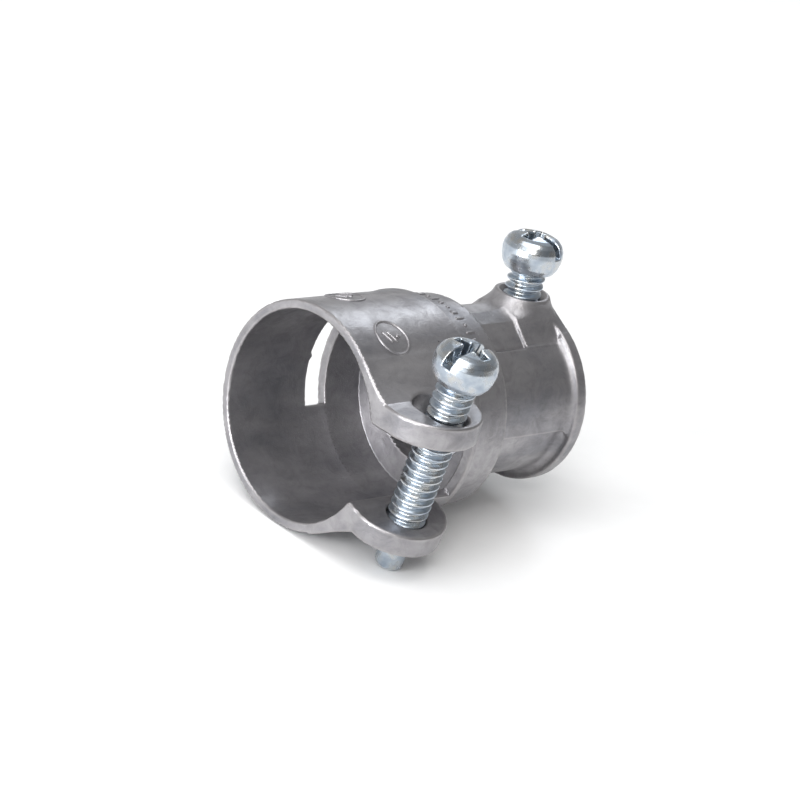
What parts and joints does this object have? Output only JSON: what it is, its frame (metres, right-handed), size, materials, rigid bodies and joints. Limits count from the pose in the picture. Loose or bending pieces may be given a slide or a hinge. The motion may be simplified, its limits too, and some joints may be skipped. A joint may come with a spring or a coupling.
{
  "type": "conduit compression fitting",
  "caption": "Zinc coupling with a screw-tightened split clamp ring for flexible conduit at one end and a set-screw socket for steel tube at the other.",
  "frame": {"origin": "centre of the tube end's face, on the axis of the bore", "axes": "+X along the bore, out of the tube socket; +Z the way the set screw points; the clamp's two ears stand out towards -Y"},
  "size_m": [0.0381, 0.0363, 0.0354],
  "materials": {
    "zinc_casting": "satin grey as-cast zinc alloy",
    "bright_zinc_steel": "bright zinc-plated steel"
  },
  "bodies": {
    "casting": {"clamp_band": "zinc_casting", "centre_collar": "zinc_casting", "emt_socket": "zinc_casting"},
    "arm": {"clamp_arm": "zinc_casting"},
    "clamp_screw_travel": {"clamp_screw_point": "bright_zinc_steel"},
    "clamp_screw_body": {"clamp_screw": "bright_zinc_steel"},
    "set_screw_travel": {"set_screw_point": "bright_zinc_steel"},
    "set_screw_body": {"set_screw": "bright_zinc_steel"}
  },
  "joints": [
    {"name": "arm_flex", "type": "hinge", "parent": "casting", "child": "arm", "pos_m": [-0.03175, -0.008, 0.01062], "axis": [1, 0, 0], "range_deg": [0, 4.5], "stiffness_Nm_per_rad": 1},
    {"name": "clamp_screw_advance", "type": "slide", "parent": "casting", "child": "clamp_screw_travel", "axis": [0, 0.1616, -0.9869], "range_m": [-0.003, 0.00345]},
    {"name": "clamp_screw_turn", "type": "hinge", "parent": "clamp_screw_travel", "child": "clamp_screw_body", "pos_m": [-0.03175, -0.01569, -0.00257], "axis": [0, 0.1616, -0.9869], "range_deg": [-1025, 1195]},
    {"name": "set_screw_advance", "type": "slide", "parent": "casting", "child": "set_screw_travel", "axis": [0, 0, -1], "range_m": [-0.00106, 0.00265]},
    {"name": "set_screw_turn", "type": "hinge", "parent": "set_screw_travel", "child": "set_screw_body", "pos_m": [-0.004, 0, 0], "axis": [0, 0, -1], "range_deg": [-365, 905]}
  ],
  "couplings": [
    {"joint": "clamp_screw_turn", "follows": "clamp_screw_advance", "rad_per_m": 5936.9},
    {"joint": "set_screw_turn", "follows": "set_screw_advance", "rad_per_m": 5936.9}
  ]
}
